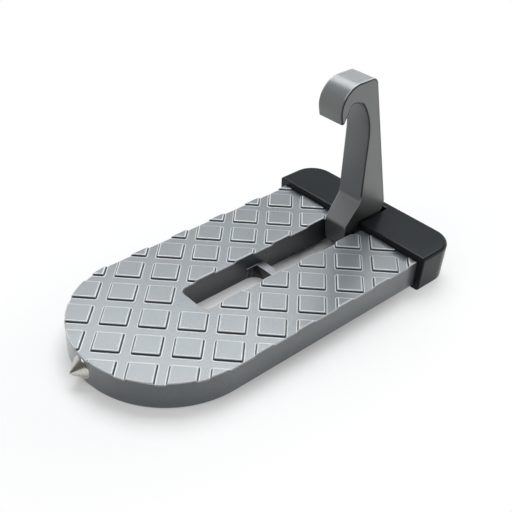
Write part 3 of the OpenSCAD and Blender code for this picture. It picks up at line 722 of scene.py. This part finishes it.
# hook: side view in mm from the pin's middle (arcs as x, z, radius), widths and roundings in metres
hookShape = {"pivot": plate["pivot"], "halfWidth": 0.00525, "round": 0.00045, "roundSteps": 5, "shadeLineBand": 0.00035,
             "widenZ": (8.0, 16.0), "widen": 0.00035, "crease": 32, "hub": 7.75, "nose": (-8.4, 6.6),
             "ramp": (-1.7, 15.5), "shankStart": 3, "shankSteps": 6, "sweep": (-25.7, 42.55, 24.0), "sweepTurn": 36.5,
             "throat": (-7.12, 57.75), "roofBack": (-10.4, 59.0), "roof": (-12.558, 59.2), "tipIn": (-15.687, 52.7),
             "tipOut": (-16.887, 52.7), "curl": (-9.3, 57.7, 8.5), "lipLean": 12.6, "topBack": (-3.2, 63.2, 3.0),
             "heel": (8.531, 9.45, 5.0), "backLean": 14.4, "heelZ": 4.45, "hubAim": (7.75, 1.5), "hubSkip": 4,
             "rounds": {"nose": 2.6, "ramp": 4.0, "throat": 0.8, "roofBack": 2.5, "roof": 1.2, "tip": 0.4,
                        "heel": 0.25}, "arcSteps": {"sweep": 2.5, "curl": 4, "back": 6, "hub": 5},
             # how strongly painted shade lines and painted highlight lie along each part of the profile
             "shadeLine": {"shank": 1.0, "curl": 1.0, "back": 0.7}, "highlight": {"ramp": 0.5},
             "lightRise": (3.5, 5.0), "lightBack": (0.5, 1.5)}
# rings of a turned edge from the side face outwards: painted shade line, painted highlight on the ramp, painted
# highlight line
shadeAndLightRings = np.array([(0, 0, 0), (1, 0.6, 0), (1, 1, 0), (0.9, 0.8, 0.1), (0.3, 0.3, 0.9), (0, 0.1, 1), (0, 0, 0)])


def arcPoints(x, z, r, start, end, step):  # points on an arc between two angles in degrees
    a = np.radians(np.linspace(start, end, max(int(abs(end - start) / step), 1) + 1))
    return np.column_stack([x + r * np.cos(a), z + r * np.sin(a)])


def roundedCorner(before, corner, after, r, count=6):  # arc that touches both sides of a corner
    before, corner, after = (np.asarray(v, float) for v in (before, corner, after))
    u, v = (before - corner) / np.linalg.norm(before - corner), (after - corner) / np.linalg.norm(after - corner)
    half = math.acos(np.clip(u @ v, -1, 1)) / 2
    middle = corner + (u + v) / np.linalg.norm(u + v) * r / math.sin(half)
    first, last = corner + u * r / math.tan(half) - middle, corner + v * r / math.tan(half) - middle
    t = np.linspace(0, 1, count)[:, None]
    way = first * (1 - t) + last * t
    return middle + way / np.linalg.norm(way, axis=1, keepdims=True) * r


def hookProfile():  # clockwise from the hub's left: nose, ramp, shank, throat, lip, curl, back, heel, hub
    h, k, steps = hookShape, hookShape["rounds"], hookShape["arcSteps"]
    rampX, lip = h["ramp"][0], 180 + h["lipLean"]
    lipRoot = arcPoints(*h["curl"], lip, lip, steps["curl"])[0]
    heelStart = (math.sqrt(h["hub"] ** 2 - h["heelZ"] ** 2), h["heelZ"])
    hubTurn = math.degrees(math.asin(h["heelZ"] / h["hub"])) - h["hubSkip"]
    shankZ = np.linspace(h["ramp"][1] + h["shankStart"], h["sweep"][1], h["shankSteps"])[:-1]
    sweep = arcPoints(*h["sweep"], 0, h["sweepTurn"], steps["sweep"])
    parts = [("ramp", roundedCorner((-h["hub"], 0), h["nose"], h["ramp"], k["nose"])),
             ("ramp", roundedCorner(h["nose"], h["ramp"], (rampX, h["sweep"][1]), k["ramp"])),
             ("shank", np.column_stack([np.full(len(shankZ), rampX), shankZ])), ("shank", sweep),
             ("shank", roundedCorner(sweep[-1], h["throat"], h["roofBack"], k["throat"])),
             ("shank", roundedCorner(h["throat"], h["roofBack"], h["roof"], k["roofBack"])),
             ("curl", roundedCorner(h["roofBack"], h["roof"], h["tipIn"], k["roof"])),
             ("curl", roundedCorner(h["roof"], h["tipIn"], h["tipOut"], k["tip"], 4)),
             ("curl", roundedCorner(h["tipIn"], h["tipOut"], lipRoot, k["tip"], 4)),
             ("curl", arcPoints(*h["curl"], lip, 90, steps["curl"])),
             ("back", arcPoints(*h["topBack"], 90, h["backLean"], steps["back"])),
             ("back", arcPoints(*h["heel"], h["backLean"], -90, steps["back"])),
             ("hub", roundedCorner((h["heel"][0], h["heelZ"]), heelStart, h["hubAim"], k["heel"], 3)),
             ("hub", arcPoints(0, 0, h["hub"], hubTurn, -180, steps["hub"]))]
    xz, counts = np.concatenate([points for name, points in parts]), [len(points) for name, points in parts]
    shadeLine, ramp = (np.repeat([h[kind].get(name, 0.0) for name, points in parts], counts) for kind in ("shadeLine", "highlight"))
    light = np.interp(xz[:, 1] - h["curl"][1], h["lightRise"], (0, 1))
    return xz, shadeLine, ramp, light * np.interp(xz[:, 0] - h["topBack"][0], h["lightBack"], (1, 0))


def turnedLeft(v):  # unit vectors at a right angle to the given ones
    return np.column_stack([-v[:, 1], v[:, 0]]) / np.linalg.norm(v, axis=1, keepdims=True)


def profileOffset(xz, depth):  # profile moved inwards; the two neighbours of a point give its direction
    ahead, back = turnedLeft(np.roll(xz, -1, 0) - xz), turnedLeft(xz - np.roll(xz, 1, 0))
    mid = ahead + back
    mid /= np.linalg.norm(mid, axis=1, keepdims=True)
    return xz - mid * depth / np.clip((mid * ahead).sum(1, keepdims=True), 0.5, 1)


def nearMasks(mesh, places, masks):  # every point takes the masks of the nearest listed place
    xyz = np.empty(len(mesh.vertices) * 3, np.float32)
    mesh.vertices.foreach_get("co", xyz)
    near = ((xyz.reshape(-1, 1, 3) - places[None]) ** 2).sum(2).argmin(1)
    for key, values in zip(("shade", "edge"), masks[near].T.astype(np.float32)):
        mesh.attributes.new(key, "FLOAT", "POINT").data.foreach_set("value", np.ascontiguousarray(values))


def hookPiece():  # profile carried across the width, long edges turned over by a quarter circle, wider above the deck
    h = hookShape
    xz, shadeLine, ramp, light = hookProfile()
    r, w, band = h["round"], h["halfWidth"], h["shadeLineBand"]
    turn = np.linspace(0, np.pi / 2, h["roundSteps"])
    half = [(r + band, w), *((r * (1 - math.sin(a)), w - r * (1 - math.cos(a))) for a in turn), (0.0, w - r - band)]
    levels = [(depth, -y) for depth, y in half] + [(depth, y) for depth, y in half[::-1]]
    rings, masks = [], []
    for (depth, y), share in zip(levels, np.concatenate([shadeAndLightRings, shadeAndLightRings[::-1]])):
        x, z = profileOffset(xz, depth * 1000).T
        wide = y + math.copysign(1, y) * np.interp(z, h["widenZ"], (0, h["widen"]))
        rings.append(np.column_stack([h["pivot"][0] + x / 1000, wide, h["pivot"][1] + z / 1000]))
        # shade: painted shade lines along the rounded edges; edge: painted highlight on the ramp and the curl's top
        masks.append(np.column_stack([shadeLine * share[0], np.maximum(ramp * share[1], light * share[2])]))
    points, loops = np.concatenate(rings), shellFaces(len(xz), len(levels))
    piece = makePiece("hookBody", [(points, loops)], hookPaint, "hook", "hook", h["crease"])
    nearMasks(piece.data, points, np.concatenate(masks))
    flatNormals(piece, True)
    return piece


print("hook made", len(hookPiece().data.polygons))


# rubber cap: lengths in metres, angles in degrees
cap = {"merge": 2e-6, "flatten": 0.5, "round": 0.0005, "segments": 2, "sharpest": 25}


def capPiece():  # copy of the CAD cap, triangles joined to flat faces, edges rounded
    mesh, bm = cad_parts["end_cap"].data.copy(), bmesh.new()
    bm.from_mesh(mesh)
    bmesh.ops.remove_doubles(bm, verts=bm.verts, dist=cap["merge"])
    bmesh.ops.dissolve_limit(bm, angle_limit=math.radians(cap["flatten"]), verts=bm.verts, edges=bm.edges)
    bm.to_mesh(mesh)
    bm.free()
    mesh.shade_smooth()
    piece = standFor("capBody", mesh, capRubber, "step", "end_cap")
    bevel = piece.modifiers.new("edges", "BEVEL")
    bevel.width, bevel.segments, bevel.use_clamp_overlap = cap["round"], cap["segments"], False
    bevel.limit_method, bevel.angle_limit, bevel.miter_outer = "ANGLE", math.radians(cap["sharpest"]), "MITER_ARC"
    flatNormals(piece, False)


capPiece()
print("cap made")


# turned tip in metres: bluntness, bulge and start of the cone are shares of the point's radius
tip = {"seatX": -0.068725, "height": 0.00695, "out": 0.0047, "coneRadius": 0.00425, "point": 0.00032, "edge": 0.0003,
       "blunt": 0.6, "bulge": 1.32, "coneStart": 0.75, "noseTurn": 0.9, "noseFirst": 0.06, "noseSteps": 5,
       "coneSteps": 14, "footX": (0.0001, 0.0003), "footShrink": 0.996, "seatDepth": 0.00145,
       "studRadius": 0.0025, "studEnd": 0.0105, "steps": 96, "crease": 30}


def turnedTip():  # profile carried round the X axis: blunted point, straight cone, rounded base, stud behind
    t, a = tip, np.arange(tip["steps"]) * 2 * np.pi / tip["steps"]
    point, foot, blunt = t["point"], t["coneRadius"], t["blunt"] * t["point"] - t["out"]
    nose = np.linspace(t["noseFirst"], 1, t["noseSteps"])
    turn = nose * math.cos(math.atan2(foot - point, -blunt)) * t["noseTurn"]
    noseX = t["bulge"] * point * (1 - np.sqrt(1 - turn ** 2)) - t["out"]
    coneX = np.linspace(t["coneStart"] * point - t["out"], -t["edge"], t["coneSteps"])
    x = np.concatenate([noseX, coneX, t["footX"], [t["seatDepth"], t["seatDepth"], t["studEnd"]]])
    r = np.concatenate([nose * point, np.interp(coneX, (blunt, 0), (point, foot)),
                        [foot * t["footShrink"], foot, foot, t["studRadius"], t["studRadius"]]])[:, None]
    rings = np.stack([t["seatX"] + x[:, None] + 0 * a, r * np.cos(a), t["height"] + r * np.sin(a)], -1)
    return rings.reshape(-1, 3), shellFaces(len(a), len(x))


makePiece("hammerCone", [turnedTip()], tipSteel, "step", "hammer_tip", tip["crease"])
for node, mat in (("hinge_pin", pinSteel), ("spacer_near", spacerPlastic), ("spacer_far", spacerPlastic)):
    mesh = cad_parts[node].data
    mesh.materials.clear()
    mesh.materials.append(mat)
print("small pieces made")
